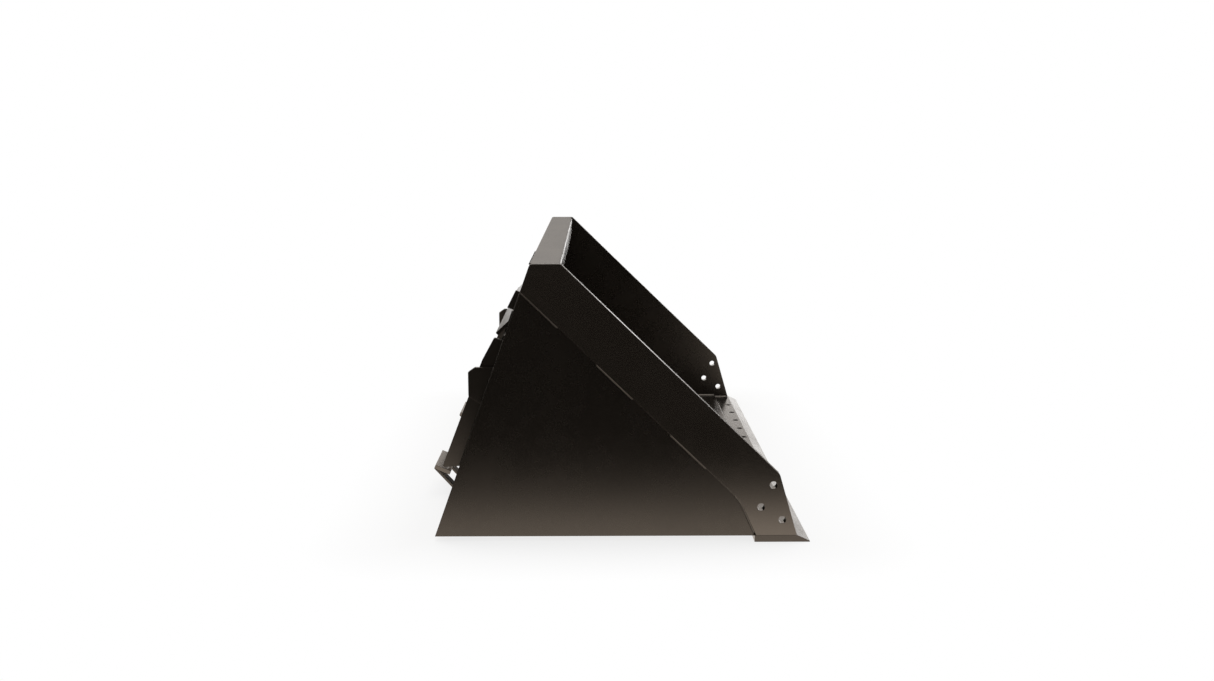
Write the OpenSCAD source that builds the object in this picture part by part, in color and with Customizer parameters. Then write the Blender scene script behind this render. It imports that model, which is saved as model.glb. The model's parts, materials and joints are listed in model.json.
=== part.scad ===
// Skid steer bucket: a welded shell with a bolt-ready cutting edge, reinforced
// side edges and a quick-attach frame on its back.
// Units are millimetres. X runs across the bucket, the mouth faces -Y, +Z is up.

/* [Overall] */
// Width over the side edge strips
overall_w = 1829; // [1220:1:2440]
// Height from the ground to the top lip
overall_h = 766; // [600:1:920]
// Floor length from the heel corner to the cutting tip
floor_len = 1030; // [850:1:1250]
// Depth of the flat top lip, from the back plate to the mouth
top_depth = 82; // [60:1:120]
// Forward lean of the back plate from vertical, in degrees
back_lean = 19.6; // [12:0.1:24]

/* [Plates] */
// Thickness of the floor plate
floor_t = 6.35; // [4:0.05:12]
// Thickness of the back plate
back_t = 6.35; // [4:0.05:12]
// Thickness of the side plates
side_t = 9.5; // [6:0.1:16]
// Gap between the ground and the lower edge of the side plates
side_clear = 12.7; // [6:0.1:18]
// Height of the front corner of the side plates
corner_h = 191; // [120:1:240]
// Distance from the cutting tip back to that corner
corner_setback = 86; // [50:1:140]
// Distance from the cutting tip back to the foot of the side plates
foot_setback = 36; // [30:1:60]
// Rounding of the front corner of the side plates
corner_r = 18; // [5:1:40]
// Rounding of the two top corners of the side plates
top_r = 10; // [0:1:25]
// Rounding of the foot of the side plates
foot_r = 4; // [0:1:10]

/* [Side edges] */
// Thickness of the reinforcing strip along each side plate
strip_t = 16; // [8:0.5:20]
// Width of that strip
strip_w = 128; // [90:1:160]
// Slope of the strip's inner edge near the front, in degrees
strip_foot_angle = 66; // [55:1:75]
// Rounding of the bend in that edge
strip_bend_r = 120; // [40:1:160]
// Diameter of the side cutter holes
side_hole_d = 20.6; // [14:0.1:26]

/* [Cutting edge] */
// Thickness of the cutting edge
edge_t = 19.05; // [12:0.05:32]
// Depth of the cutting edge, front to back
edge_w = 152; // [110:1:220]
// Length of the top bevel
bevel_len = 34; // [20:1:45]
// Height of the blunt cutting tip
tip_h = 3; // [1:0.5:6]
// Diameter of the bolt holes
edge_hole_d = 20.6; // [14:0.1:26]
// Distance from the cutting tip to the row of bolt holes
edge_hole_setback = 50; // [45:1:60]
// Distance between neighbouring bolt holes
edge_hole_pitch = 133.35; // [100:0.05:170]
// Least distance from the middle of a bolt hole to a side plate
edge_hole_margin = 20; // [14:1:60]
// Length of floor plate that laps onto the cutting edge
floor_lap = 60; // [30:1:80]

/* [Top lip] */
// Thickness of the bent top lip
lip_t = 9.5; // [6:0.1:14]
// Height of the lip's turned-down front flange
lip_drop = 48; // [30:1:70]

/* [Wear bars] */
// Number of wear bars under the floor
wear_count = 4; // [4]
// Width of one wear bar
wear_w = 76; // [50:1:100]
// Distance from a side plate to the middle of the nearest wear bar
wear_edge_gap = 189; // [60:1:260]
// Distance from the heel to the rear end of the bars
wear_inset = 28; // [10:1:60]
// Length of the chamfer at that end
wear_ramp = 12; // [4:1:18]

/* [Attach frame] */
// Width between the two guide plates
guide_gap = 1181; // [1160:1:1210]
// Thickness of the guide plates
guide_t = 9.5; // [6:0.1:14]
// Height of the mounting plates along their face
mount_h = 480; // [440:1:520]
// Thickness of the mounting plates
mount_t = 9.5; // [6:0.1:14]
// Clear width between the two mounting plates
mount_gap = 440; // [300:1:500]
// Distance from the lower end of a mounting plate to its tapered rib
rib_inset = 60; // [20:1:100]
// Gap between back plate and mounting plate at the lower end
standoff = 25; // [15:1:40]
// Height of the tabs above the heel, along the back plate
tab_u = 59; // [45:1:80]
// Width of one lower tab
tab_w = 183; // [150:1:220]
// Distance between the two tabs, centre to centre
tab_spacing = 730; // [700:1:760]
// How far the tabs stand out from the mounting face
tab_reach = 42; // [38:1:70]
// Thickness of the tabs
tab_t = 12.7; // [9:0.1:16]
// Length of the wedge slot in a tab
slot_len = 76; // [50:1:100]
// Width of the wedge slot in a tab
slot_w = 20; // [16:1:28]
// Distance from the mounting face to the slot
slot_inset = 0.5; // [0.5:0.5:8]
// Thickness of the brace legs under the tabs
brace_t = 8; // [6:0.5:12]
// Clearance between a brace leg and the end of the slot above it
brace_gap = 12; // [6:1:25]
// Height of the brace's lower end above the floor's underside, along the back plate
brace_u = 0; // [0:1:12]

/* [Hook rail] */
// Height of the hook bend above the heel, along the back plate
hook_u = 572; // [550:1:600]
// Thickness of the hook rail
hook_t = 9.5; // [6:0.1:14]
// Length of the rail's leg on the back plate
hook_leg = 32; // [20:1:50]
// Length of the rail's sloping flange
hook_flange = 53; // [40:1:60]
// Angle of that flange from the back plate, in degrees
hook_angle = 26.5; // [20:0.5:40]
// Width of the rail, which ends short of the guide plates
rail_w = 1036; // [800:1:1100]

/* [Guides and ears] */
// Depth of the guide plates at their lower end, out from the back plate
guide_depth = 51; // [44:1:56]
// Depth of the guide plates where their taper starts
guide_mid_depth = 43; // [38:1:50]
// Depth of the guide plates at their upper end
guide_top_depth = 31; // [20:1:38]
// Height of the guide plates' lower end above the heel, along the back plate
guide_low = 104; // [90:1:120]
// Height at which their taper starts
guide_mid = 450; // [420:1:480]
// Height of their upper end
guide_high = 525; // [500:1:560]
// Thickness of the ears outside the guide plates
ear_t = 12.7; // [8:0.1:16]
// How far the ears stand out from the back plate
ear_reach = 70; // [60:1:85]
// Height of the ears' lower end above the heel, along the back plate
ear_low = 326; // [280:1:340]
// Length of the ears along the back plate
ear_len = 118; // [100:1:150]

/* [Upper lugs] */
// Thickness of the lugs above the ends of the hook rail
lug_t = 9.5; // [6:0.1:14]
// Height of a lug's lower end above the heel, along the back plate
lug_low = 621; // [605:1:640]
// Length of a lug along the back plate
lug_len = 56; // [30:1:80]
// Depth of a lug at its lower end
lug_depth = 24; // [16:1:30]
// Depth of a lug at its upper end
lug_top_depth = 17; // [8:1:24]

/* [Hidden] */

$fn = 48;
BLACK = [0.11, 0.10, 0.09];
DARK = [0.16, 0.15, 0.14];
EDGE = [0.40, 0.38, 0.36];
OVER = 1;          // how far a cut runs past the face it starts from
ARC_STEPS = 8;     // straight steps that stand for one rounded corner
strip_setback = 4; // how far the strip's foot reaches over the cutting edge
mount_cut = 56;    // height of the cut lower outer corner of a mounting plate
weld_gap = 0.3;    // weld root between a mounting plate and the tab under it
ear_cut_in = 14;   // how far an ear's cut corner reaches in from its outer edge
ear_cut_down = 20; // how far it reaches down
ear_root = 46;     // depth of an ear where its outer edge ends below
guide_foot = 22;   // how much higher a guide plate's foot is at the back plate
corner_soft = 5;   // rounding of the guides' and ears' corners
// Side cutter holes: distance behind the cutting tip, and height, of each
SIDE_HOLES = [[103, 161], [136, 99], [77, 63]];

// The mounting face leans a little further forward than the back plate.
frame_lean = back_lean + asin(standoff / mount_h);
tab_overhang = -tab_u * sin(back_lean) + (standoff + mount_t) * cos(back_lean)
    + tab_reach * cos(frame_lean) + tab_t * sin(frame_lean);
tip_y = -(floor_len + tab_overhang) / 2;
heel_y = tip_y + floor_len;
edge_rear_y = tip_y + edge_w;
foot_y = tip_y + foot_setback;
corner_y = tip_y + corner_setback;
floor_z = edge_t;
inner_w = overall_w - 2 * strip_t - 2 * side_t;
// An even number of bolt holes, as many as fit between the side plates
edge_holes = 2 * floor((inner_w / 2 - edge_hole_margin) / edge_hole_pitch + 0.5);
// Distance between the outermost wear bars, centre to centre
wear_span = inner_w - 2 * wear_edge_gap;
back_top_y = back_y(overall_h);
mouth_top_y = back_top_y - top_depth;
mouth_angle = atan2(overall_h - corner_h, mouth_top_y - corner_y);
guide_x = guide_gap / 2;
mount_w = (guide_gap - mount_gap) / 2;

// Rear face of the back plate at a height, as a Y value
function back_y(z) = heel_y - (z - side_clear) * tan(back_lean);

// A point given along the back plate (u) and out from it (v), as [Y, Z]
function on_back(u, v) = [
    heel_y - u * sin(back_lean) + v * cos(back_lean),
    side_clear + u * cos(back_lean) + v * sin(back_lean)
];

// A point given up the mounting face (w) and out from it (q), as [Y, Z]
function on_frame(w, q) = let (o = on_back(tab_u, standoff + mount_t)) [
    o.x - w * sin(frame_lean) + q * cos(frame_lean),
    o.y + w * cos(frame_lean) + q * sin(frame_lean)
];

// Unit vector, and the points that round the corner b between a and c
function unit(v) = v / norm(v);
function turn(a) = a > 180 ? a - 360 : a < -180 ? a + 360 : a;
function rounded(a, b, c, r) = r <= 0 ? [b] : let (
    to_a = unit(a - b),
    to_c = unit(c - b),
    half = acos(to_a * to_c) / 2,
    centre = b + unit(to_a + to_c) * r / sin(half),
    first = b + to_a * r / tan(half) - centre,
    last = b + to_c * r / tan(half) - centre,
    start = atan2(first.y, first.x),
    sweep = turn(atan2(last.y, last.x) - start)
) [for (i = [0:ARC_STEPS]) let (t = start + sweep * i / ARC_STEPS) centre + r * [cos(t), sin(t)]];

// An outline of [point, radius] pairs with its corners rounded
function outline(rows) = let (n = len(rows)) [
    for (i = [0:n - 1])
        each rounded(rows[(i + n - 1) % n][0], rows[i][0], rows[(i + 1) % n][0], rows[i][1])
];

// Where the line through p along d meets the line through q along e
function crossing(p, d, q, e) = p + d * cross(q - p, e) / cross(d, e);

// A plate with the given [Y, Z] outline, from x = from over the width w
module plate(points, from, w) {
    translate([from, 0, 0])
        rotate([90, 0, 90])
            linear_extrude(w)
                polygon(points);
}

// The same piece on the other side of the bucket
module other_side() {
    mirror([1, 0, 0])
        children();
}

/* ---- shell ---- */

module floor_plate() {
    top = floor_z + floor_t;
    front_y = edge_rear_y - floor_lap;
    color(BLACK)
        plate([
            [front_y, floor_z], [back_y(floor_z), floor_z],
            [back_y(top), top], [front_y, top]
        ], -inner_w / 2, inner_w);
}

module back_plate() {
    low = floor_z + floor_t;
    high = overall_h - lip_t;
    depth = back_t / cos(back_lean);
    color(BLACK)
        plate([
            [back_y(low), low], [back_y(high), high],
            [back_y(high) - depth, high], [back_y(low) - depth, low]
        ], -inner_w / 2, inner_w);
}

module top_lip() {
    under = overall_h - lip_t;
    color(EDGE)
        plate(outline([
            [[back_y(under), under], 0],
            [[back_top_y, overall_h], 0],
            [[mouth_top_y, overall_h], lip_t],
            [[mouth_top_y, overall_h - lip_drop], 0],
            [[mouth_top_y + lip_t, overall_h - lip_drop], 0],
            [[mouth_top_y + lip_t, under], 0]
        ]), -inner_w / 2, inner_w);
}

function side_outline() = outline([
    [[heel_y, side_clear], 0],
    [[back_top_y, overall_h], top_r],
    [[mouth_top_y, overall_h], top_r],
    [[corner_y, corner_h], corner_r],
    [[foot_y, edge_t], foot_r],
    [[edge_rear_y, edge_t], 0],
    [[edge_rear_y, side_clear], 0]
]);

// Strip outline: it follows the mouth and front edges of the side plate. Its
// inner edge is the mouth line set back, then a bend down to the cutting edge.
function strip_outline() = let (
    back = [sin(mouth_angle), -cos(mouth_angle)],
    mouth_dir = [cos(mouth_angle), sin(mouth_angle)],
    back_dir = [sin(back_lean), -cos(back_lean)],
    foot_dir = [cos(strip_foot_angle), sin(strip_foot_angle)],
    inner = [corner_y, corner_h] + back * strip_w,
    foot = [edge_rear_y - strip_setback, edge_t],
    knee = crossing(inner, mouth_dir, foot, foot_dir),
    top = crossing(inner, mouth_dir, [heel_y, side_clear], back_dir)
) outline([
    [top, 0],
    [[back_top_y, overall_h], top_r],
    [[mouth_top_y, overall_h], top_r],
    [[corner_y, corner_h], corner_r],
    [[foot_y, edge_t], foot_r],
    [foot, 0],
    [knee, strip_bend_r]
]);

module side_bores(from, w) {
    for (h = SIDE_HOLES)
        translate([from - OVER, tip_y + h.x, h.y])
            rotate([0, 90, 0])
                cylinder(d = side_hole_d, h = w + 2 * OVER);
}

module side_plate_left() {
    from = inner_w / 2;
    color(BLACK)
        difference() {
            plate(side_outline(), from, side_t);
            side_bores(from, side_t);
        }
}

module side_plate_right() {
    other_side()
        side_plate_left();
}

module side_edge_left() {
    from = inner_w / 2 + side_t;
    color(DARK)
        difference() {
            plate(strip_outline(), from, strip_t);
            side_bores(from, strip_t);
        }
}

module side_edge_right() {
    other_side()
        side_edge_left();
}

/* ---- cutting edge and wear bars ---- */

module cutting_edge() {
    color(EDGE)
        difference() {
            plate([
                [tip_y, 0], [edge_rear_y, 0], [edge_rear_y, edge_t],
                [tip_y + bevel_len, edge_t], [tip_y, tip_h]
            ], -overall_w / 2, overall_w);
            for (i = [0:edge_holes - 1])
                translate([(i - (edge_holes - 1) / 2) * edge_hole_pitch, tip_y + edge_hole_setback, -OVER])
                    cylinder(d = edge_hole_d, h = edge_t + 2 * OVER);
        }
}

module wear_bar(i) {
    mid = (i / (wear_count - 1) - 0.5) * wear_span;
    rear_y = heel_y - wear_inset;
    color(DARK)
        plate([
            [edge_rear_y, 0], [rear_y - wear_ramp, 0],
            [rear_y, wear_ramp], [rear_y, floor_z], [edge_rear_y, floor_z]
        ], mid - wear_w / 2, wear_w);
}

/* ---- attach frame ---- */

module hook_rail() {
    out = [-cos(hook_angle), sin(hook_angle)];
    into = [-sin(hook_angle), -cos(hook_angle)];
    bend = [hook_u, hook_t];
    tip = bend + out * hook_flange;
    tip_under = tip + into * hook_t;
    root = tip_under - out * tip_under.y / sin(hook_angle);
    uv = [[hook_u + hook_leg, 0], [hook_u + hook_leg, hook_t], bend, tip, tip_under, root];
    color(EDGE)
        plate([for (p = uv) on_back(p.x, p.y)], -rail_w / 2, rail_w);
}

module mount_plate_left() {
    tab_end = (tab_spacing + tab_w) / 2;
    color(BLACK)
        difference() {
            plate([
                on_frame(weld_gap, -mount_t), on_frame(weld_gap, 0),
                on_frame(mount_h, 0), on_frame(mount_h, -mount_t)
            ], mount_gap / 2, mount_w);
            in_frame(0, OVER)
                rotate([90, 0, 0])
                    linear_extrude(mount_t + 2 * OVER)
                        polygon([
                            [tab_end, -OVER], [tab_end, weld_gap],
                            [guide_x, mount_cut], [guide_x + OVER, mount_cut],
                            [guide_x + OVER, -OVER]
                        ]);
        }
}

module mount_plate_right() {
    other_side()
        mount_plate_left();
}

// Tapered web that carries the inner end of a mounting plate
module mount_rib_left() {
    low = rib_inset;
    high = mount_h - 2 * rib_inset;
    color(BLACK)
        plate([
            on_back(tab_u + low, 0), on_frame(low, -mount_t),
            on_frame(high, -mount_t), on_back(tab_u + high, 0)
        ], mount_gap / 2 + mount_t, guide_t);
}

module mount_rib_right() {
    other_side()
        mount_rib_left();
}

// End plate of the frame: it keeps the machine's coupler from sliding sideways
module guide_plate_left() {
    uv = [
        [guide_low + guide_foot, 0, 0],
        [guide_low, guide_depth, corner_soft],
        [guide_mid, guide_mid_depth, 0],
        [guide_high, guide_top_depth, corner_soft],
        [guide_high, 0, 0]
    ];
    color(BLACK)
        plate(outline([for (p = uv) [on_back(p.x, p.y), p.z]]), guide_x, guide_t);
}

module guide_plate_right() {
    other_side()
        guide_plate_left();
}

// Ear on the outside of a guide plate: a level top, a cut corner and an upright outer edge
module ear_left() {
    lean = tan(back_lean);
    top_u = ear_low + ear_len;
    cut_v = ear_reach - ear_cut_in;
    nose_u = top_u - cut_v * lean - ear_cut_down;
    uv = [
        [top_u, 0, 0],
        [top_u - cut_v * lean, cut_v, corner_soft],
        [nose_u, ear_reach, corner_soft],
        [nose_u - (ear_reach - ear_root) / lean, ear_root, corner_soft],
        [ear_low, 0, 0]
    ];
    color(BLACK)
        plate(outline([for (p = uv) [on_back(p.x, p.y), p.z]]), guide_x + guide_t, ear_t);
}

module ear_right() {
    other_side()
        ear_left();
}

// Tapered lug on the back plate, above the end of the hook rail
module lug_left() {
    high = lug_low + lug_len;
    uv = [[lug_low, 0], [lug_low, lug_depth], [high, lug_top_depth], [high, 0]];
    color(BLACK)
        plate([for (p = uv) on_back(p.x, p.y)], guide_x, lug_t);
}

module lug_right() {
    other_side()
        lug_left();
}

// A block laid out along the mounting face: x across, w up the face, q out of it
module in_frame(w, q) {
    p = on_frame(w, q);
    translate([0, p.x, p.y])
        rotate([frame_lean, 0, 0])
            children();
}

// Tab under a mounting plate, with the slot that takes the coupler's wedge pin
module tab_left() {
    mid = tab_spacing / 2;
    r = slot_w / 2;
    slot_q = slot_inset + r;
    color(EDGE)
        in_frame(-tab_t, 0)
            difference() {
                translate([mid - tab_w / 2, -mount_t, 0])
                    cube([tab_w, mount_t + tab_reach, tab_t]);
                for (s = [-1, 1])
                    translate([mid + s * (slot_len / 2 - r), slot_q, -OVER])
                        cylinder(r = r, h = tab_t + 2 * OVER);
                translate([mid - slot_len / 2 + r, slot_q - r, -OVER])
                    cube([slot_len - slot_w, slot_w, tab_t + 2 * OVER]);
            }
}

module tab_right() {
    other_side()
        tab_left();
}

// Two sloping legs from the tip of a tab down to the heel, open below the slot
module tab_brace_left() {
    tip = on_frame(-tab_t, tab_reach);
    heel = on_back((floor_z - side_clear) / cos(back_lean) + brace_u, 0);
    along = unit(heel - tip);
    inner = tip + [along.y, -along.x] * brace_t;
    up_back = [-sin(back_lean), cos(back_lean)];
    out_tab = [cos(frame_lean), sin(frame_lean)];
    inner_heel = crossing(inner, along, heel, up_back);
    inner_tip = crossing(inner, along, tip, out_tab);
    leg_w = (tab_w - slot_len) / 2 - brace_gap;
    color(BLACK)
        for (x = [tab_spacing / 2 - tab_w / 2, tab_spacing / 2 + tab_w / 2 - leg_w])
            plate([tip, heel, inner_heel, inner_tip], x, leg_w);
}

module tab_brace_right() {
    other_side()
        tab_brace_left();
}

floor_plate();
back_plate();
top_lip();
side_plate_left();
side_plate_right();
side_edge_left();
side_edge_right();
cutting_edge();
wear_bar(0);  // wear_bar_1
wear_bar(1);  // wear_bar_2
wear_bar(2);  // wear_bar_3
wear_bar(3);  // wear_bar_4
hook_rail();
mount_plate_left();
mount_plate_right();
mount_rib_left();
mount_rib_right();
guide_plate_left();
guide_plate_right();
ear_left();
ear_right();
lug_left();
lug_right();
tab_left();
tab_right();
tab_brace_left();
tab_brace_right();
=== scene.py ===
import json
import math
import random

import bpy
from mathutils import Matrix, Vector


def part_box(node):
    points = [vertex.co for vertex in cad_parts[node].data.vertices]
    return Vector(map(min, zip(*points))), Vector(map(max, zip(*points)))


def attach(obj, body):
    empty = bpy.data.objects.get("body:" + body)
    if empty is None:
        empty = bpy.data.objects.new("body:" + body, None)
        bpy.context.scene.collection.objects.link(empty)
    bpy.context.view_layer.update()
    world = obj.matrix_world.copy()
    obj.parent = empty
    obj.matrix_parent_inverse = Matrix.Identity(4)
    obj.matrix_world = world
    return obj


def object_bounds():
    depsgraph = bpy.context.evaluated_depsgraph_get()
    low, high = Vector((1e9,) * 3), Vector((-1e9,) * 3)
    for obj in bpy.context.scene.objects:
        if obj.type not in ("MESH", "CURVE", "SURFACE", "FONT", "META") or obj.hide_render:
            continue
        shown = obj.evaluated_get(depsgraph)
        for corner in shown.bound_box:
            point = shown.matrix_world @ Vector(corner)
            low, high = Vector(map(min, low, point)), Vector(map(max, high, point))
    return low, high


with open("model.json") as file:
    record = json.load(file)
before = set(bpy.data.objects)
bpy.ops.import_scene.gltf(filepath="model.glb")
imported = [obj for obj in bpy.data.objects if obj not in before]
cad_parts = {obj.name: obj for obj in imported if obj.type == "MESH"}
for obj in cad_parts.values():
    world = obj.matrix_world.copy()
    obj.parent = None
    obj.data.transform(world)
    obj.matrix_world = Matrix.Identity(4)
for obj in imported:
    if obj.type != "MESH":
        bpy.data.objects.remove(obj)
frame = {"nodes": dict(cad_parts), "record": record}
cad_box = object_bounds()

NODES = frame["nodes"]
X, Y, Z = Vector((1, 0, 0)), Vector((0, 1, 0)), Vector((0, 0, 1))
SIDES = (("left", 1), ("right", -1))

# ---------------------------------------------------------------- camera

CAMERA_AT = (-4.1955, 0.0468, 1.1137)
CAMERA_TURN = (80.444, 0.0, -90.576)  # degrees
CAMERA_LENS = 37.0                   # mm, on a 36 mm wide sensor

camera = bpy.data.objects.new("camera", bpy.data.cameras.new("camera"))
bpy.context.scene.collection.objects.link(camera)
camera.location = CAMERA_AT
camera.rotation_euler = [math.radians(a) for a in CAMERA_TURN]
camera.data.lens = CAMERA_LENS
camera.data.sensor_width = 36
camera.data.clip_end = 200
bpy.context.scene.camera = camera
bpy.context.scene.view_settings.view_transform = "Standard"


# ---------------------------------------------------------------- node helpers

class Nodes:
    """A node tree that is written as a chain of calls: each returns the new node's output."""

    def __init__(self, tree):
        self.tree = tree
        self.tree.nodes.clear()

    def add(self, kind, inputs=None, output=0, **settings):
        node = self.tree.nodes.new(kind)
        for key, value in settings.items():
            setattr(node, key, value)
        for key, value in (inputs or {}).items():
            self.put(node.inputs[key], value)
        return node.outputs[output]

    def put(self, socket, value):
        if isinstance(value, bpy.types.NodeSocket):
            self.tree.links.new(value, socket)
        else:
            socket.default_value = value

    def finish(self, kind, surface):
        self.put(self.tree.nodes.new(kind).inputs["Surface"], surface)

    def math(self, operation, *values):
        return self.add("ShaderNodeMath", dict(enumerate(values)), operation=operation)

    def noise(self, where, scale, detail=2.0, roughness=0.5, distortion=0.0):
        return self.add("ShaderNodeTexNoise", {
            "Vector": where, "Scale": scale, "Detail": detail,
            "Roughness": roughness, "Distortion": distortion})

    def span(self, value, low, high, to_low=0.0, to_high=1.0):
        return self.add("ShaderNodeMapRange", {
            "Value": value, "From Min": low, "From Max": high, "To Min": to_low, "To Max": to_high})

    def mix(self, factor, a, b):
        return self.add("ShaderNodeMix", {"Factor": factor, 6: a, 7: b}, output=2, data_type="RGBA")

    def scaled(self, where, *by):
        return self.add("ShaderNodeMapping", {"Vector": where, "Scale": by})

    def axis(self, where, index):
        return self.add("ShaderNodeSeparateXYZ", {"Vector": where}, output=index)


def grey(v):
    return (v, v, v, 1.0)


# ---------------------------------------------------------------- materials

CLOUD, GRAIN = 5.0, 260.0               # scales of the blotches and of the fine grain
ORANGE, WAVE = 330.0, 2.6               # scales of the orange peel and of the plate's waviness
ROLLED = (3.0, 45.0, 45.0)              # rolling marks, drawn out along the bucket's width
SCUFFED = (14.0, 220.0, 260.0)          # fine scuffs, drawn out the same way
WAVE_HEIGHT, PEEL_HEIGHT = 0.002, 0.00003
EDGE_REACH = 0.0025                     # width of the thinner coat along an edge
THIN_GAIN, THIN_LIFT = 2.2, 0.004       # how much paler the thinner coat is
CLOUD_SHEEN, ROLLED_SHEEN, SCUFF_SHEEN = 0.035, 0.015, 0.03     # changes of roughness
WARM = (1.0, 0.88, 0.76, 1.0)           # tint of the highlights


def coat(name, base, roughness, peel=0.25, mottle=0.25, wear=0.5, level=0.9, ior=1.6):
    """Black gloss paint over steel: orange peel, a slow waviness of the plate, blotchy
    sheen, fine scuffs, and a thinner coat along the edges."""
    material = bpy.data.materials.new(name)
    material.use_nodes = True
    n = Nodes(material.node_tree)
    where = n.add("ShaderNodeTexCoord", output="Object")

    cloud = n.noise(where, CLOUD, detail=4.0, roughness=0.6)
    grain = n.noise(where, GRAIN, detail=3.0, roughness=0.7)
    rolled = n.noise(n.scaled(where, *ROLLED), 1.0, detail=3.0)
    scuffs = n.noise(n.scaled(where, *SCUFFED), 1.0, detail=1.0)
    scuff_mask = n.math("MULTIPLY", n.span(scuffs, 0.60, 0.78), n.span(cloud, 0.48, 0.66))

    soft = n.add("ShaderNodeBevel", {"Radius": EDGE_REACH}, samples=4)
    normal = n.add("ShaderNodeNewGeometry", output="Normal")
    turned = n.add("ShaderNodeVectorMath", {0: soft, 1: normal}, output="Value",
                   operation="DOT_PRODUCT")
    edge = n.math("MULTIPLY", n.span(turned, 0.995, 0.88), n.span(grain, 0.25, 0.5))

    dull = [c * (1 - mottle) for c in base] + [1.0]
    bright = [c * (1 + mottle) for c in base] + [1.0]
    thin = [c * THIN_GAIN + THIN_LIFT for c in base] + [1.0]
    colour = n.mix(n.span(cloud, 0.35, 0.65), dull, bright)
    colour = n.mix(n.math("MULTIPLY", n.span(grain, 0.3, 0.8), 0.25), colour, thin)
    colour = n.mix(n.math("MULTIPLY", edge, wear), colour, thin)

    gloss = n.span(cloud, 0.3, 0.7, roughness - CLOUD_SHEEN, roughness + CLOUD_SHEEN)
    gloss = n.math("ADD", gloss, n.span(rolled, 0.35, 0.65, -ROLLED_SHEEN, ROLLED_SHEEN))
    gloss = n.math("ADD", gloss, n.math("MULTIPLY", scuff_mask, SCUFF_SHEEN))

    orange = n.noise(where, ORANGE, detail=1.0)
    wave = n.noise(where, WAVE, detail=1.0)
    bump = n.add("ShaderNodeBump", {"Strength": 0.35, "Distance": WAVE_HEIGHT, "Height": wave})
    bump = n.add("ShaderNodeBump", {
        "Strength": peel, "Distance": PEEL_HEIGHT, "Height": orange, "Normal": bump})

    surface = n.add("ShaderNodeBsdfPrincipled", {
        "Base Color": colour, "Roughness": gloss, "IOR": ior, "Specular IOR Level": level,
        "Specular Tint": WARM, "Normal": bump})
    n.finish("ShaderNodeOutputMaterial", surface)
    return material


COATS = {
    "shell_coat": coat("shell_coat", (0.0052, 0.0041, 0.0030), 0.27),
    "edge_coat": coat("edge_coat", (0.0072, 0.0059, 0.0045), 0.19, peel=0.12, level=1.0, ior=1.78),
    "frame_coat": coat("frame_coat", (0.0070, 0.0060, 0.0050), 0.30, peel=0.35),
    "wear_steel": coat("wear_steel", (0.0110, 0.0098, 0.0082), 0.22, peel=0.4, wear=0.8),
}
WELD_COAT = coat("weld_coat", (0.0085, 0.0071, 0.0058), 0.34, peel=0.8, wear=0.3)

SLOT_OF = {part["node"]: part["material_slot"] for part in frame["record"]["subparts"]}


# ---------------------------------------------------------------- CAD plates

EDGE_ROUND = 0.0009     # softened plate edges
OWN_ROUND = {"cutting_edge": 0.0006}     # plates that are softened less
ROUND_ABOVE = math.radians(25)
FLAT_BELOW = math.radians(0.2)
MERGE_WITHIN = 0.00002
SMOOTH_ANGLE = math.radians(32)


def smoothing_group():
    """Geometry nodes that shade a plate smooth, apart from edges sharper than SMOOTH_ANGLE."""
    tree = bpy.data.node_groups.new("smooth_by_angle", "GeometryNodeTree")
    tree.interface.new_socket("Geometry", in_out="INPUT", socket_type="NodeSocketGeometry")
    tree.interface.new_socket("Geometry", in_out="OUTPUT", socket_type="NodeSocketGeometry")
    n = Nodes(tree)
    angle = n.add("GeometryNodeInputMeshEdgeAngle")
    sharp = n.add("FunctionNodeCompare", {0: angle, 1: SMOOTH_ANGLE}, operation="GREATER_THAN")
    mesh = n.add("NodeGroupInput")
    mesh = n.add("GeometryNodeSetShadeSmooth", {"Geometry": mesh, "Shade Smooth": True})
    mesh = n.add("GeometryNodeSetShadeSmooth", {
        "Geometry": mesh, "Selection": sharp, "Shade Smooth": False}, domain="EDGE")
    n.put(tree.nodes.new("NodeGroupOutput").inputs[0], mesh)
    return tree


SMOOTHING = smoothing_group()

for name, plate in NODES.items():
    plate.data.materials.clear()
    plate.data.materials.append(COATS[SLOT_OF[name]])
    weld_points = plate.modifiers.new("weld_points", "WELD")
    weld_points.merge_threshold = MERGE_WITHIN
    flatten = plate.modifiers.new("flatten", "DECIMATE")
    flatten.decimate_type = "DISSOLVE"
    flatten.angle_limit = FLAT_BELOW
    rounding = plate.modifiers.new("rounding", "BEVEL")
    rounding.width = OWN_ROUND.get(name, EDGE_ROUND)
    rounding.segments = 2
    rounding.limit_method = "ANGLE"
    rounding.angle_limit = ROUND_ABOVE
    rounding.use_clamp_overlap = False
    plate.modifiers.new("smoothing", "NODES").node_group = SMOOTHING
    plate.modifiers.new("flat_faces", "WEIGHTED_NORMAL").keep_sharp = True


def corner(node, y, z, x=0.0):
    """The node's vertex that lies furthest along a direction."""
    way = Vector((x, y, z))
    return max((v.co for v in NODES[node].data.vertices), key=way.dot).copy()


def at_x(point, x):
    return Vector((x, point.y, point.z))


# ---------------------------------------------------------------- weld beads

RIPPLE = 0.0055         # distance between the ripples of a bead
RIPPLE_STEPS = 4
FACE_STEPS = 6          # points across the bead's face
BEAD_SINK = 0.0010      # how far the root lies inside the plates
END_LEN = 0.005         # length of a bead's rounded end
END_SIZE = 0.35         # size of a bead's very end, as a share of its full size
BULGE = 0.38            # share of a round face in the bead's section, the rest being flat
RIPPLE_DEPTH, RIPPLE_MID = 0.07, 0.6
RIPPLE_CURVE = 0.45     # how far a ripple is shifted in the middle of the face, in ripples
SWELL_KEPT, SWELL_STEP = 0.93, 0.012    # slow change of the bead's size along its length
SAME_PLACE = 1e-6       # points nearer than this count as one
draw = random.Random(72)


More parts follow.
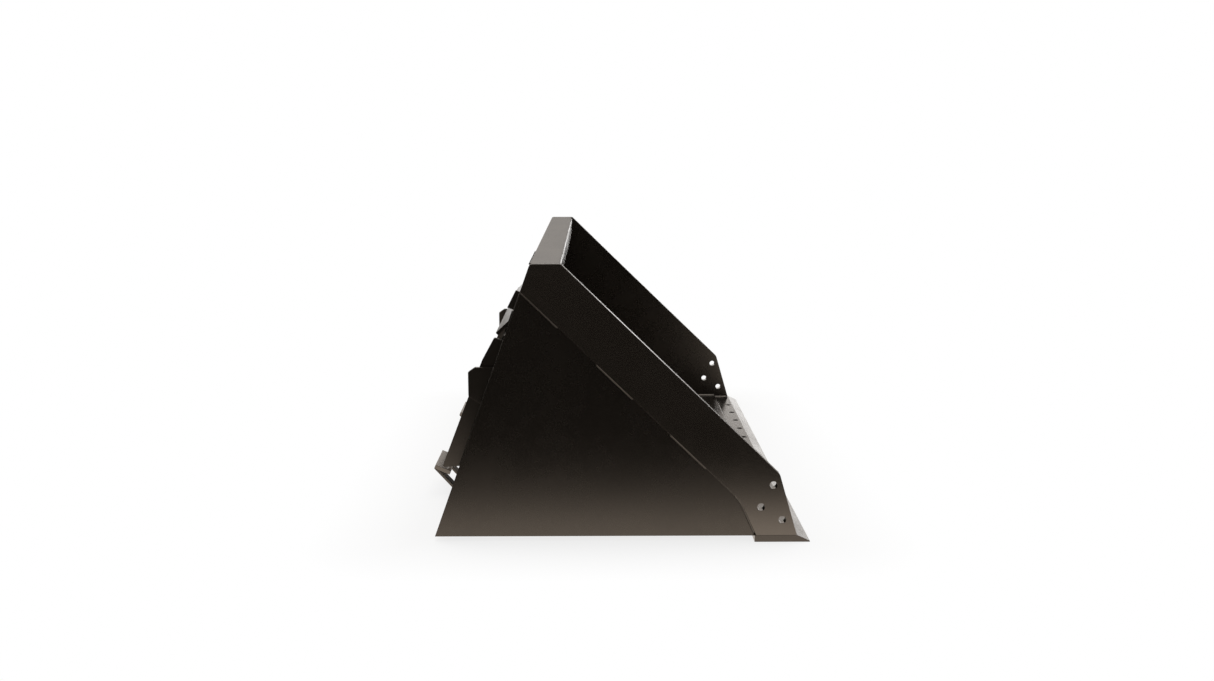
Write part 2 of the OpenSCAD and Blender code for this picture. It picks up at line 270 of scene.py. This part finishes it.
def along(points, step):
    """Evenly spaced (place, direction) pairs on a polyline."""
    lengths = [(b - a).length for a, b in zip(points, points[1:])]
    total = sum(lengths)
    count = max(4, round(total / step))
    spots, seg, before = [], 0, 0.0
    for i in range(count + 1):
        want = total * i / count
        while seg < len(lengths) - 1 and want > before + lengths[seg]:
            before += lengths[seg]
            seg += 1
        way = (points[seg + 1] - points[seg]).normalized()
        spots.append((points[seg] + way * (want - before), way))
    smooth = []
    for i, (place, _) in enumerate(spots):
        a, b = spots[max(0, i - 2)][0], spots[min(count, i + 2)][0]
        smooth.append((place, (b - a).normalized()))
    return smooth, total


def bead_mesh(points, up, out, size):
    """Vertices and faces of one rippled fillet. It lies in the corner between the
    directions up and out; out may be 1 or -1, for the side of the line it lies on."""
    spots, total = along(points, RIPPLE / RIPPLE_STEPS)
    verts, faces = [], []
    swell, drift = 0.0, draw.uniform(0, 1)
    ring = FACE_STEPS + 2
    for i, (place, way) in enumerate(spots):
        s = total * i / (len(spots) - 1)
        a = (up - way * up.dot(way)).normalized()
        b = way.cross(a) * out if isinstance(out, (int, float)) else out
        b = (b - way * b.dot(way)).normalized()
        swell = SWELL_KEPT * swell + draw.uniform(-SWELL_STEP, SWELL_STEP)
        end = min(s, total - s) / END_LEN
        end = math.sqrt(max(0.0, 1 - (1 - min(end, 1)) ** 2))
        legs = size * (1 + swell) * (END_SIZE + (1 - END_SIZE) * end)
        verts.append(place - (a + b) * BEAD_SINK)
        for k in range(FACE_STEPS + 1):
            t = k / FACE_STEPS * math.pi / 2
            phase = s / RIPPLE + drift + RIPPLE_CURVE * math.sin(2 * t)
            crest = 1 - abs(2 * (phase % 1) - 1) ** 2
            chord = 1 / (math.cos(t) + math.sin(t))
            ripple = 1 + RIPPLE_DEPTH * (crest - RIPPLE_MID) * math.sin(2 * t) ** 0.5
            r = legs * ((1 - BULGE) * chord + BULGE) * ripple
            verts.append(place + a * r * math.sin(t) + b * r * math.cos(t))
    for i in range(len(spots) - 1):
        for k in range(ring):
            j = (k + 1) % ring
            faces.append((i * ring + k, (i + 1) * ring + k, (i + 1) * ring + j, i * ring + j))
    last = (len(spots) - 1) * ring
    faces.append(tuple(range(ring - 1, -1, -1)))
    faces.append(tuple(last + k for k in range(ring)))
    return verts, faces


def weld(name, runs, size=0.006):
    """One piece for the beads of one joint. runs holds (points, up, out) rows."""
    verts, faces = [], []
    for points, up, out in runs:
        new_verts, new_faces = bead_mesh(points, up, out, size)
        faces += [tuple(len(verts) + i for i in face) for face in new_faces]
        verts += new_verts
    mesh = bpy.data.meshes.new(name)
    mesh.from_pydata(verts, [], faces)
    mesh.shade_smooth()
    mesh.update()
    mesh.materials.append(WELD_COAT)
    piece = bpy.data.objects.new(name, mesh)
    bpy.context.scene.collection.objects.link(piece)
    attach(piece, "root")


def cut(points, start, end):
    """The part of a polyline between two distances along it."""
    kept, before = [], 0.0
    for a, b in zip(points, points[1:]):
        length = (b - a).length
        low, high = max(start, before), min(end, before + length)
        if low < high:
            kept += [a.lerp(b, (low - before) / length), a.lerp(b, (high - before) / length)]
        before += length
    tidy = kept[:1]
    for p in kept[1:]:
        if (p - tidy[-1]).length > SAME_PLACE:
            tidy.append(p)
    return tidy


def path_len(points):
    return sum((b - a).length for a, b in zip(points, points[1:]))


# ---------------------------------------------------------------- where the joints are

def directions(node):
    """A plate's directions, up along its face and out towards the rear."""
    low, high = corner(node, -0.2, -1), corner(node, -0.2, 1)
    rise = at_x(high - low, 0).normalized()
    return rise, X.cross(rise) * -1


BACK_UP, BACK_OUT = directions("back_plate")
FRAME_UP, FRAME_OUT = directions("mount_plate_left")
inner_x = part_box("floor_plate")[1].x
floor_front = corner("floor_plate", -1, 1)
floor_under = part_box("floor_plate")[0].z
heel = corner("floor_plate", 1, -1)
back_low, back_high = corner("back_plate", -0.2, -1), corner("back_plate", -0.2, 1)
edge_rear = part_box("cutting_edge")[1].y
edge_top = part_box("cutting_edge")[1].z
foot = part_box("side_plate_left")[0].y
strip_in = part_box("side_edge_left")[0].x


def across(point, half):
    """A line over the bucket's width through a point."""
    return [at_x(point, -half), at_x(point, half)]


# ---------------------------------------------------------------- shell welds

INSIDE_BEAD = 0.0055    # legs of the beads inside the bucket
UNDER_BEAD = 0.005
END_GAP = 0.004         # how far a bead stops short of a plate's end
for side, s in SIDES:
    x = s * inner_x
    inward = X * -s
    weld(f"weld_floor_{side}", [
        ([at_x(back_low, x), at_x(floor_front, x)], Z, inward),
        ([Vector((x, floor_front.y, edge_top)), Vector((x, foot + END_GAP, edge_top))], Z, inward),
    ], INSIDE_BEAD)
    weld(f"weld_back_{side}", [
        ([at_x(back_low, x), at_x(back_high, x)], -BACK_OUT, inward),
    ], INSIDE_BEAD)
    weld(f"weld_under_{side}", [
        ([Vector((x, heel.y - END_GAP, floor_under)), Vector((x, edge_rear, floor_under))],
         -Z, inward),
    ], UNDER_BEAD)

weld("weld_heel", [(across(back_low, inner_x), BACK_UP, -Y)], INSIDE_BEAD)
weld("weld_lip", [(across(back_high, inner_x), -BACK_UP, -Y)], INSIDE_BEAD)
weld("weld_floor_front", [
    (across(Vector((0, floor_front.y, edge_top)), inner_x), Z, -Y)], INSIDE_BEAD)


# ---------------------------------------------------------------- strip stitches

STITCH_LEN, STITCH_PITCH, STITCHES = 0.142, 0.280, 3
FOOT_RUN = 0.125        # the last run goes round the bend to the foot
TOP_GAP, FOOT_GAP = 0.002, 0.003        # bare lengths at the two ends of a strip
STRIP_BEAD = 0.0065
ON_FACE = 1e-5          # how near to a face's plane its vertices lie


def rim(node, x):
    """The outline of a node's flat face at x, as a closed loop of points in order."""
    mesh = NODES[node].data
    uses = {}
    for face in mesh.polygons:
        spots = [mesh.vertices[i].co for i in face.vertices]
        if max(abs(p.x - x) for p in spots) < ON_FACE:
            keys = [(round(p.y, 5), round(p.z, 5)) for p in spots]
            for a, b in zip(keys, keys[1:] + keys[:1]):
                uses[frozenset((a, b))] = uses.get(frozenset((a, b)), 0) + 1
    beside = {}
    for edge, count in uses.items():
        if count == 1 and len(edge) == 2:
            a, b = edge
            beside.setdefault(a, []).append(b)
            beside.setdefault(b, []).append(a)
    loops = []
    while beside:
        here = next(iter(beside))
        loop = [here]
        while True:
            onward = [k for k in beside.pop(here, []) if k in beside]
            if not onward:
                break
            here = onward[0]
            loop.append(here)
        loops.append([Vector((x, y, z)) for y, z in loop])
    return max(loops, key=path_len)


def shorter_way(loop, start, end):
    """The points of a closed loop from start to end, the shorter way round."""
    i = min(range(len(loop)), key=lambda k: (loop[k] - start).length)
    loop = loop[i:] + loop[:i]
    j = min(range(len(loop)), key=lambda k: (loop[k] - end).length)
    ways = (loop[:j + 1], loop[:1] + loop[:j - 1:-1])
    return min(ways, key=path_len)


for side, s in SIDES:
    node = f"side_edge_{side}"
    loop = rim(node, s * strip_in)
    edge = shorter_way(loop, corner(node, 1, 0, -s), corner(node, 0.3, -1, -s))
    length = path_len(edge)
    starts = [i * STITCH_PITCH for i in range(STITCHES)]
    runs = [cut(edge, TOP_GAP + start, start + STITCH_LEN) for start in starts]
    runs.append(cut(edge, length - FOOT_RUN, length - FOOT_GAP))
    weld(f"weld_strip_{side}", [(run, X * s, -s) for run in runs], STRIP_BEAD)


# ---------------------------------------------------------------- frame welds

ON_PLANE = 0.0006       # how near to a plane a vertex counts as on it
FRAME_BEAD = 0.006      # legs of the beads on the coupler frame
SMALL_BEAD = 0.0045     # and of those at braces, lip and wear bars


def plane_ends(node, origin, normal, rise):
    """The lowest and highest of the node's vertices on a plane, counted along rise."""
    spots = [v.co for v in NODES[node].data.vertices if abs((v.co - origin).dot(normal)) < ON_PLANE]
    return min(spots, key=rise.dot).copy(), max(spots, key=rise.dot).copy()


back_face = corner("back_plate", BACK_OUT.y, BACK_OUT.z)


def root_runs(node, faces):
    """Beads where an upright plate stands on the back plate, one for each listed face:
    faces holds (x, outward direction) pairs."""
    low, high = plane_ends(node, back_face, BACK_OUT, BACK_UP)
    return [([at_x(low, x), at_x(high, x)], BACK_OUT, X * way) for x, way in faces]


for side, s in SIDES:
    for part in ("guide_plate", "lug", "ear", "mount_rib"):
        node = f"{part}_{side}"
        low_x, high_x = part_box(node)[0].x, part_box(node)[1].x
        inner, outer = sorted((low_x, high_x), key=abs)
        faces = [(outer, s)] if part == "ear" else [(inner, -s), (outer, s)]
        weld(f"weld_{part}_{side}", root_runs(node, faces), FRAME_BEAD)

rail_low, rail_high = plane_ends("hook_rail", back_face, BACK_OUT, BACK_UP)
rail_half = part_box("hook_rail")[1].x
weld("weld_hook_rail", [
    (across(rail_high, rail_half), BACK_OUT, BACK_UP),
    (across(rail_low, rail_half), BACK_OUT, -BACK_UP),
], FRAME_BEAD)

for side, s in SIDES:
    tab, mount = f"tab_{side}", f"mount_plate_{side}"
    near, far = sorted((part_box(tab)[0].x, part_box(tab)[1].x))
    mount_foot = corner(mount, FRAME_OUT.y - FRAME_UP.y, FRAME_OUT.z - FRAME_UP.z)
    weld(f"weld_tab_{side}", [
        ([at_x(mount_foot, near), at_x(mount_foot, far)], FRAME_OUT, FRAME_UP)], FRAME_BEAD)
    mount_top = corner(mount, BACK_UP.y - BACK_OUT.y, BACK_UP.z - BACK_OUT.z)
    ends = sorted((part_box(mount)[0].x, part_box(mount)[1].x))
    on_back = mount_top - BACK_OUT * (mount_top - back_face).dot(BACK_OUT)
    weld(f"weld_mount_{side}", [
        ([at_x(on_back, ends[0]), at_x(on_back, ends[1])], BACK_OUT, BACK_UP)], FRAME_BEAD)

weld("weld_edge_rear", [
    (across(Vector((0, edge_rear, floor_under)), inner_x), -Z, Y)], FRAME_BEAD)

for side, s in SIDES:
    brace = f"tab_brace_{side}"
    low, high = plane_ends(brace, back_face, BACK_OUT, BACK_UP)
    near, far = sorted((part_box(brace)[0].x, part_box(brace)[1].x))
    weld(f"weld_brace_{side}", [
        ([at_x(low, x), at_x(high, x)], BACK_OUT, X * way) for x, way in ((near, -1), (far, 1))],
        SMALL_BEAD)
    x = s * inner_x
    under_rear = at_x(corner("top_lip", 1, -1), x)
    flange_low = at_x(corner("top_lip", 0.3, -1), x)
    inside = Vector((x, flange_low.y, under_rear.z))
    weld(f"weld_lip_{side}", [
        ([under_rear, inside], -Z, X * -s), ([inside, flange_low], Y, X * -s)], SMALL_BEAD)

BAR_START, BAR_STITCH, BAR_PITCH = 0.02, 0.060, 0.150
bars = sorted(name for name in NODES if name.startswith("wear_bar_"))
for bar in bars:
    low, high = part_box(bar)
    runs = []
    for x, way in ((low.x, -1), (high.x, 1)):
        line = [Vector((x, low.y, high.z)), Vector((x, high.y, high.z))]
        for i in range(int((high.y - low.y) / BAR_PITCH)):
            start = i * BAR_PITCH + BAR_START
            runs.append((cut(line, start, start + BAR_STITCH), -Z, X * way))
    weld(f"weld_{bar}", runs, SMALL_BEAD)


# ---------------------------------------------------------------- floor and backdrop

PAINTED_POOL_REACH = 0.42             # distance in which the painted reflection of the floor fades
FLOOR_GAP = 0.0003      # keeps the floor off the plane of the undersides
SHADOW_REACH = 0.30     # beyond this distance the camera sees plain white
SHADOW_WHITE = 0.80     # share of plain white right beside the bucket
FLOOR_HALF = 40.0
FLOOR_GREY = 0.85
PAINTED_POOL_NEAR = (1.0, 0.93, 0.86, 1.0)      # painted reflection of the floor: a bright pool of light beside the bucket
PAINTED_POOL_FAR = (0.045, 0.041, 0.037, 1.0)   # and painted dark far from it


def stage_plane(name, half, z, material):
    mesh = bpy.data.meshes.new(name)
    mesh.from_pydata([(x * half, y * half, z) for x, y in ((-1, -1), (1, -1), (1, 1), (-1, 1))],
                     [], [(0, 1, 2, 3)])
    mesh.materials.append(material)
    plane = bpy.data.objects.new(name, mesh)
    bpy.context.scene.collection.objects.link(plane)


def floor_material():
    """White floor that keeps a soft contact shadow. Reflections see a painted, glowing pool of
    light, bright close to the bucket and dark further away, a stage effect that is tuned to the
    photo."""
    material = bpy.data.materials.new("floor")
    material.use_nodes = True
    n = Nodes(material.node_tree)
    where = n.add("ShaderNodeTexCoord", output="Object")
    x, y = n.axis(where, 0), n.axis(where, 1)
    high = cad_box[1]
    beyond_x = n.math("MAXIMUM", n.math("SUBTRACT", n.math("ABSOLUTE", x), high[0]), 0.0)
    beyond_y = n.math("MAXIMUM", n.math("SUBTRACT", n.math("ABSOLUTE", y), high[1]), 0.0)
    distance = n.math("SQRT", n.math("ADD", n.math("MULTIPLY", beyond_x, beyond_x),
                                     n.math("MULTIPLY", beyond_y, beyond_y)))
    shade = n.add("ShaderNodeBsdfDiffuse", {"Color": grey(FLOOR_GREY)})
    white = n.add("ShaderNodeEmission", {"Color": grey(1.0), "Strength": 1.0})
    seen = n.add("ShaderNodeMixShader", {
        0: n.span(distance, 0.0, SHADOW_REACH, SHADOW_WHITE, 1.0), 1: shade, 2: white})
    # Painted reflection: glossy rays see an emitting pool of light that fades with distance, not
    # the lit floor.
    reach = n.math("MULTIPLY", distance, 1 / PAINTED_POOL_REACH)
    near = n.math("POWER", math.e, n.math("MULTIPLY", n.math("MULTIPLY", reach, reach), -1.0))
    painted_pool = n.mix(near, PAINTED_POOL_FAR, PAINTED_POOL_NEAR)
    painted_reflection = n.add("ShaderNodeEmission", {"Color": painted_pool, "Strength": 1.0})
    light_path = n.tree.nodes.new("ShaderNodeLightPath")
    surface = n.add("ShaderNodeMixShader", {
        0: light_path.outputs["Is Glossy Ray"], 1: shade, 2: painted_reflection})
    surface = n.add("ShaderNodeMixShader", {
        0: light_path.outputs["Is Camera Ray"], 1: surface, 2: seen})
    n.finish("ShaderNodeOutputMaterial", surface)
    return material


stage_plane("floor", FLOOR_HALF, -FLOOR_GAP, floor_material())


# ---------------------------------------------------------------- light

def soft_light(name, at, aim, size, power):
    """A large soft lamp that faces the point aim."""
    lamp = bpy.data.lights.new(name, "AREA")
    lamp.shape = "RECTANGLE"
    lamp.size, lamp.size_y = size
    lamp.energy = power
    item = bpy.data.objects.new(name, lamp)
    bpy.context.scene.collection.objects.link(item)
    item.location = at
    item.rotation_euler = (Vector(aim) - Vector(at)).to_track_quat("-Z", "Y").to_euler()


soft_light("top_light", (0.0, 0.0, 4.5), (0, 0, 0), (5.0, 5.0), 135)
soft_light("front_light", (-1.0, -5.0, 3.0), (0, 0, 0.3), (4.5, 3.0), 60)
soft_light("low_light", (6.0, -1.2, 0.45), (0, -1.2, 0.45), (5.6, 0.7), 22)
soft_light("rear_light", (1.0, 5.0, 3.0), (0, 0, 0.3), (4.5, 3.0), 60)


ROOM = (0.07, 0.067, 0.064, 1.0)            # the world on the photo's side
BACKDROP_LOW = (0.33, 0.315, 0.30, 1.0)     # and opposite, near the ground
BACKDROP_HIGH = (0.95, 0.905, 0.86, 1.0)    # and higher up
BACKDROP_EDGE = (-0.2, 0.7)                 # where ROOM turns into the backdrop, along X
BACKDROP_RISE = (0.09, 0.25)                # where the backdrop turns bright, along Z


def world_light():
    """White for the camera. For everything else a soft room that is tuned to the photo:
    a backdrop on one side, brighter higher up, and dim on the other."""
    world = bpy.data.worlds.new("studio")
    bpy.context.scene.world = world
    world.use_nodes = True
    n = Nodes(world.node_tree)
    where = n.add("ShaderNodeTexCoord", output="Generated")
    behind = n.span(n.axis(where, 0), *BACKDROP_EDGE)
    high_up = n.span(n.axis(where, 2), *BACKDROP_RISE)
    backdrop = n.mix(high_up, BACKDROP_LOW, BACKDROP_HIGH)
    room = n.mix(behind, ROOM, backdrop)
    light_path = n.tree.nodes.new("ShaderNodeLightPath")
    colour = n.mix(light_path.outputs["Is Camera Ray"], room, grey(1.0))
    surface = n.add("ShaderNodeBackground", {"Color": colour, "Strength": 1.0})
    n.finish("ShaderNodeOutputWorld", surface)


world_light()
